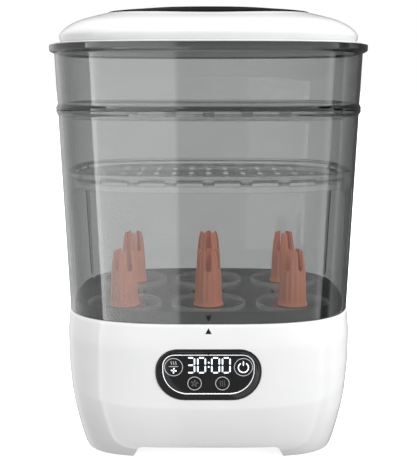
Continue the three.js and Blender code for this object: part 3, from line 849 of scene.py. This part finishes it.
def make_grips(name, bottom):
    """Small upright ribs between the steam windows, on the front and the back of the skirt."""
    depth = plan_depth(TRAY_HALF)
    bars = []
    for i in range(-3, 4):
        for k in range(-2, 3):
            x = WINDOW_PITCH * i + 1.9 * k
            y = depth * (1 - abs(x / TRAY_HALF) ** SQUARENESS) ** (1 / SQUARENESS)
            for side in (-1, 1):
                bars.append(prism("bar", circle(0.62, x, side * y, 8), bottom + 5.4, bottom + 8.4))
    grips = joined(bars, name)
    tidy(grips.data)
    return grips


for body, node in (("accessory_rack", "accessory_tray"), ("upper_rack", "upper_tray")):
    bottom = span(node)[0].z
    clear_piece(make_tray(f"{body}_tray", bottom), smoke_tray, body, node)
    clear_piece(make_grips(f"{body}_grips", bottom), painted_shade_grip_smoke, body)

# ------------------------------------------------------------------ bottle tray and prongs
PRONG_PITCH, PRONG_Y = 75.0, 49.5
THROUGH = (120, 140)  # heights that a cutter through the tray's floor runs between
PRONGS = {
    f"prong_{row}_{column}": (i * PRONG_PITCH, j * PRONG_Y)
    for j, row in ((-1, "front"), (1, "rear"))
    for i, column in ((-1, "left"), (0, "middle"), (1, "right"))
}


def make_bottle_tray():
    """The tray that the bottles stand on: a rimmed floor with drain slots and holes for the prongs."""
    half, under, rim = 123.6, TRAY_FLOOR - 2.2, TRAY_FLOOR + 4
    body = loft("bottle_rack_tray", rounded([
        (0, under), (half - 2.8, under, 0.5), (half - 2.4, SECTION_BOTTOM, 0.3), (half, SECTION_BOTTOM, 0.4),
        (half, rim, 0.8), (half - 2, rim, 0.8), (half - 4, TRAY_FLOOR, 2.0), (0, TRAY_FLOOR),
    ], closed=False), closed=False)
    cutters = []
    for x, y in PRONGS.values():
        cutters.append(prism("hole", circle(6.0, x, y, 32), *THROUGH))
    for i in (-1, 0, 1):
        for k in (-2, -1, 0, 1, 2):
            cutters.append(prism("slot", slot_outline(i * PRONG_PITCH + k * 7, 0, 18, 3, True), *THROUGH))
    for i in (-1, 1):
        for row in (-1, 1):
            for k in range(10):
                u, v = (k * 37) % 20 - 10, (k * 53) % 14 - 7  # scattered
                cutters.append(prism("hole", circle(0.7, i * 39 + u * 0.9, row * 62 + v, 10), *THROUGH))
    for i in (-1, 1):
        for j in (-1, 1):
            x0, x1 = sorted((i * 113, i * 130))
            cutters.append(block(x0, x1, j * RIB_Y - 3, j * RIB_Y + 3, *THROUGH))
    carve(body, cutters)
    return soften(body, 0.2, 1, 50)


finish_piece(make_bottle_tray(), painted_shade_floor_smoke, "bottle_rack", "smoked_clear", "bottle_tray")


def make_seat(name, x, y):
    """The raised ring that a bottle's mouth stands in."""
    foot, top = TRAY_FLOOR + 0.05, TRAY_FLOOR + 3.6
    profile = rounded([(31, foot, 0.2), (33, foot, 0.2), (32.7, top, 0.7), (31.2, top, 0.7)])
    ring = loft(name, profile, form=round_form)
    ring.data.transform(Matrix.Translation((x * MM, y * MM, 0)))
    return ring


for name, (x, y) in PRONGS.items():
    clear_piece(make_seat(name.replace("prong", "seat"), x, y), smoke_tray, "bottle_rack")

PRONG_TOP, TIPS_START = 50.0, 33.0  # heights over the tray's floor; the tips are rounded from there up
FINGERS = 5
SLOT_RADIUS, SLOT_CENTRE = 2.5, 34.0  # the round end of a slot between two fingers


def finger_drop(half, z, angle):
    """Rounds the fingers' tips."""
    if z < TIPS_START:
        return 0
    u = (angle / (2 * math.pi) * FINGERS) % 1 * 2 - 1
    return -5.5 * (1 - math.sqrt(max(0, 1 - u * u * 0.96))) * (z - TIPS_START) / (PRONG_TOP - TIPS_START)


def flute(body):
    """Presses shallow flutes into a prong's sides, above its foot."""
    for vert in body.data.vertices:
        z = vert.co.z / MM
        if math.hypot(vert.co.x, vert.co.y) > 9.8 * MM and z > 3:
            angle = math.atan2(vert.co.y, vert.co.x)
            hollow = (0.5 - 0.5 * math.cos(angle * FINGERS * 3)) ** 2
            pull = 1 - 0.055 * hollow * min(1, (z - 3) / 3)
            vert.co.x *= pull
            vert.co.y *= pull


def prong_mesh():
    """A hollow crown of fingers, fluted down its sides."""
    outer = smooth_line([(13.5, 0.3), (13.5, 1.2), (12.2, 4.0), (11.9, 13), (11.4, 26), (10.2, 39),
                         (8.9, 47), (8.3, 49.4)], 4)
    inner = [(7.2, 49.6), (7.6, 45), (8.6, 37), (9.4, 24), (9.6, 8), (9.0, 6.2)]
    profile = [(0, 0.3), *outer, *inner, (0, 6.0)]
    body = loft("prong_shape", profile, form=round_form, closed=False, count=120, lift=finger_drop)
    flute(body)
    outline = [(-SLOT_RADIUS, 70), (SLOT_RADIUS, 70)]
    for k in range(9):
        t = -math.pi * k / 8
        outline.append((SLOT_RADIUS * math.cos(t), SLOT_CENTRE + SLOT_RADIUS * math.sin(t)))
    upright = Matrix.Rotation(math.pi / 2, 4, "X")
    for k in range(FINGERS):
        turn = Matrix.Rotation(2 * math.pi * k / FINGERS + math.pi / 2, 4, "Z")
        carve(body, [prism("slot", outline, 3, 22, place=turn @ upright)])
    bevel = body.modifiers.new("soft", "BEVEL")
    bevel.width = 0.5 * MM
    bevel.segments = 3
    bevel.limit_method = "ANGLE"
    bevel.angle_limit = math.radians(45)
    settle(body, 60)
    return body


shape = prong_mesh()
for name, (x, y) in PRONGS.items():
    mesh = shape.data.copy()
    spin = -math.pi / 2 if x == 0 else -math.pi / 2 + math.pi / FINGERS  # a slot or a finger in front
    mesh.transform(Matrix.Translation((x * MM, y * MM, TRAY_FLOOR * MM)) @ Matrix.Rotation(spin, 4, "Z"))
    tidy(mesh, 50)
    piece = link(name.replace("prong", "crown"), mesh)
    even = piece.modifiers.new("even_normals", "WEIGHTED_NORMAL")
    even.keep_sharp = True
    finish_piece(piece, coral, "bottle_rack", "coral_plastic", name)
bpy.data.objects.remove(shape)


# ------------------------------------------------------------------ lid
INSERT_HALF = 89.4
DOME_FALL, DOME_MIDDLE, DOME_REACH = 2.1, 92, 42  # how far, round which half-width and how widely
SKIRT_HALF, LIP_HALF, LIP_FOOT = 132.4, 135.8, RIM_TOP + 0.3
LID_SLOT_X, INSERT_SLOT_PITCH = 105, 4.4


def dome_lift(half, z, angle):
    """The dome falls a little further to the front and back than to the sides."""
    share = max(0, 1 - abs(half - DOME_MIDDLE) / DOME_REACH)
    return -DOME_FALL * math.sin(angle) ** 2 * share


def make_lid():
    """The white dome: its skirt stands in the upper section and its lip rests on the rim."""
    outer = smooth_line([
        (129.6, 362.6), (130.7, 364.2), (131.4, 366.4), (131.4, 368.4), (130.4, 370.6), (128.2, 373.2),
        (125.0, 375.9), (119.6, 379.4), (113, 382.3), (103, 385.5), (94, 387.9), (INSERT_HALF + 1.0, 388.7),
    ], 4)
    profile = [(129.0, 355), (SKIRT_HALF - 0.2, 354.6), (SKIRT_HALF, 356), (SKIRT_HALF, LIP_FOOT)]
    profile += rounded([
        (SKIRT_HALF, LIP_FOOT), (LIP_HALF, LIP_FOOT, 0.4), (LIP_HALF, 361.9, 0.6), (130.0, 362.3, 0.3),
        (129.6, 362.6),
    ], closed=False)[1:-1]
    profile += outer
    profile += [
        (INSERT_HALF + 0.5, 388.7), (INSERT_HALF + 0.5, 386.5), (60, 389.7), (60, 387.5), (98, 383.1),
        (110, 380.2), (118.0, 376.6), (123.2, 372.2), (127.2, 366), (128.6, 361),
    ]
    shell = loft("lid_dome", profile, lift=dome_lift)
    slots = []
    for side in (-1, 1):
        for y in (-36, -12, 12, 36):
            slots.append(prism("slot", slot_outline(side * LID_SLOT_X, y, 14, 3), 372, 398))
    carve(shell, slots)
    return soften(shell, 0.35, 2, 50)


def make_insert():
    """The black panel in the dome, with its patch of vents."""
    half = INSERT_HALF
    top = smooth_line([
        (half - 0.2, 389.0), (half - 1.2, 389.8), (78, 391.1), (66, 392.1), (52, 393.3), (34, 394.5),
        (16, 395.4), (1.5, 395.8),
    ], 4)
    profile = [(0, 392.8), (60, 390.1), (half, 386.9), (half, 388.6), *top, (0, 395.8)]
    panel = loft("lid_panel", profile, closed=False, lift=dome_lift)
    slots = []
    for k in range(-6, 7):
        outline = slot_outline(k * INSERT_SLOT_PITCH, 0, 24, 1.7, True)
        slots.append(prism("slot", outline, 380, 402))
    carve(panel, slots)
    return soften(panel, 0.25, 2, 50)


finish_piece(make_lid(), painted_shade_lid_white, "lid", "gloss_white", "lid_shell")
finish_piece(make_insert(), black_lid, "lid", "gloss_black", "lid_insert")

# ------------------------------------------------------------------ CAD pieces that keep their shape
KEPT = {
    inner_white: ["base_deck", "air_outlet_grille", "lid_baffle"],
    rubber: ["rubber_foot_front_left", "rubber_foot_front_right", "rubber_foot_rear_left",
             "rubber_foot_rear_right", "power_gland"],
    steel: ["heating_plate", "heating_element", "fan_shaft", "fan_motor", "base_screw_front_left",
            "base_screw_front_right", "base_screw_rear_left", "base_screw_rear_right"],
    silicone: ["plate_seal", "thermal_fuse", "touch_pad_mode", "touch_pad_power", "touch_pad_dry",
               "touch_pad_steam"],
    black_moulded: ["thermostat", "blower_housing", "transformer"],
    grey_plastic: ["base_floor", "fan_rotor", "air_duct", "relay", "display_module"],
    aluminium: ["drying_heater"],
    board_green: ["power_board", "control_board"],
    paper: ["hepa_filter"],
}
for material, nodes in KEPT.items():
    for node in nodes:
        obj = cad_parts[node]
        obj.data.materials.clear()
        obj.data.materials.append(material)
        soften(obj, 0.3, 2, 38, apply=False)

# ------------------------------------------------------------------ floor, light and camera
bpy.ops.mesh.primitive_plane_add(size=80, location=(0, 0, 0))
floor = bpy.context.object
floor.name = "studio_floor"
floor.data.materials.append(finish(
    "pale_floor", (0.94, 0.94, 0.94), (0.96, 0.96, 0.96), (0.55, 0.7), 6, 300, 0.02,
    Emission_Color=(1, 1, 1, 1), Emission_Strength=0.8,
))
for sort in ("diffuse", "glossy", "transmission", "shadow"):
    setattr(floor, f"visible_{sort}", False)


def calc(tree, operation, *values):
    """A Math node on numbers or sockets."""
    node = tree.nodes.new("ShaderNodeMath")
    node.operation = operation
    for socket, value in zip(node.inputs, values):
        if isinstance(value, bpy.types.NodeSocket):
            tree.links.new(value, socket)
        else:
            socket.default_value = value
    return node.outputs[0]


# What the glossy faces mirror, by direction in degrees: 0 is in front of the object and 90 to its
# right. Two softboxes stand in front, with a strong one on the left, and the room is dim beside them.
ROOM = [
    (-180, 0.05), (-166, 0.25), (-150, 1.0), (-140, 1.3), (-61.5, 1.3), (-60.5, 8.0), (-54, 5.0),
    (-46, 4.0), (-5.5, 3.0), (-4.5, 1.1), (60, 1.4), (66, 2.5), (71.5, 2.3), (72.5, 0.05), (88, 0.05),
    (92, 1.1), (104, 0.6), (120, 0.25), (180, 0.05),
]


def make_studio():
    """White behind the object, a dome of soft light that is stronger from above and from the right,
    and the two softboxes for its glossy faces."""
    world = bpy.data.worlds.new("studio")
    bpy.context.scene.world = world
    world.use_nodes = True
    tree = world.node_tree
    place = tree.nodes.new("ShaderNodeTexCoord")
    axes = tree.nodes.new("ShaderNodeSeparateXYZ")
    tree.links.new(place.outputs["Generated"], axes.inputs[0])
    x, y, z = axes.outputs
    dome = calc(tree, "MULTIPLY_ADD", x, 0.44, calc(tree, "MULTIPLY_ADD", z, 1.0, 0.47))
    dome = calc(tree, "MAXIMUM", dome, 0.29)
    angle = calc(tree, "ARCTAN2", x, calc(tree, "MULTIPLY", y, -1))
    share = calc(tree, "MULTIPLY_ADD", angle, 1 / (2 * math.pi), 0.5)
    ramp = tree.nodes.new("ShaderNodeValToRGB")
    tree.links.new(share, ramp.inputs["Fac"])
    peak = max(value for _, value in ROOM)
    stops = ramp.color_ramp.elements
    for k, (degrees, value) in enumerate(ROOM):
        spot = degrees / 360 + 0.5
        stop = stops[k] if k < 2 else stops.new(spot)
        stop.position = spot
        stop.color = (value / peak, value / peak, value / peak, 1)
    room = calc(tree, "MULTIPLY", ramp.outputs["Color"], peak)
    path = tree.nodes.new("ShaderNodeLightPath")
    mirrored = calc(tree, "GREATER_THAN", path.outputs["Glossy Depth"], 0.5)
    diffused = calc(tree, "GREATER_THAN", path.outputs["Diffuse Depth"], 0.5)
    seen = mixed(tree, mirrored, 1.0, room)
    background = tree.nodes["Background"]
    background.inputs["Color"].default_value = (1, 1, 1, 1)
    tree.links.new(mixed(tree, diffused, seen, dome), background.inputs["Strength"])


def mixed(tree, factor, first, second):
    """A value between two numbers or sockets."""
    node = tree.nodes.new("ShaderNodeMix")
    node.data_type = "FLOAT"
    for socket, value in zip(("Factor", "A", "B"), (factor, first, second)):
        if isinstance(value, bpy.types.NodeSocket):
            tree.links.new(value, node.inputs[socket])
        else:
            node.inputs[socket].default_value = value
    return node.outputs[0]


make_studio()

AIM_HEIGHT = 0.2
CAMERA_DISTANCE, CAMERA_HEIGHT, CAMERA_TILT = 0.828, 0.3263, 0.1602  # metres, and radians downwards
FOCAL_LENGTH, SENSOR_WIDTH = 70.1, 36


def softbox(name, azimuth, distance, height, size, power):
    """A square soft light that only brightens. Azimuth is as in ROOM."""
    light = bpy.data.lights.new(name, "AREA")
    light.shape = "SQUARE"
    light.size = size
    light.energy = power
    obj = bpy.data.objects.new(name, light)
    bpy.context.scene.collection.objects.link(obj)
    a = math.radians(azimuth)
    obj.location = (distance * math.sin(a), -distance * math.cos(a), height)
    aim = Vector((0, 0, AIM_HEIGHT)) - obj.location
    obj.rotation_euler = aim.to_track_quat("-Z", "Y").to_euler()
    obj.visible_glossy = False
    obj.visible_transmission = False
    obj.visible_camera = False


softbox("key_softbox", 40, 1.9, 1.3, 1.6, 24)
softbox("fill_softbox", -50, 2.0, 0.6, 1.6, 5.5)
softbox("rim_softbox", -120, 1.8, 0.7, 1.2, 10)

camera_data = bpy.data.cameras.new("camera")
camera = bpy.data.objects.new("camera", camera_data)
bpy.context.scene.collection.objects.link(camera)
camera.location = (0, -CAMERA_DISTANCE, CAMERA_HEIGHT)
camera.rotation_euler = (math.pi / 2 - CAMERA_TILT, 0, 0)
camera_data.lens = FOCAL_LENGTH
camera_data.sensor_width = SENSOR_WIDTH
bpy.context.scene.camera = camera
bpy.context.scene.view_settings.view_transform = "Standard"
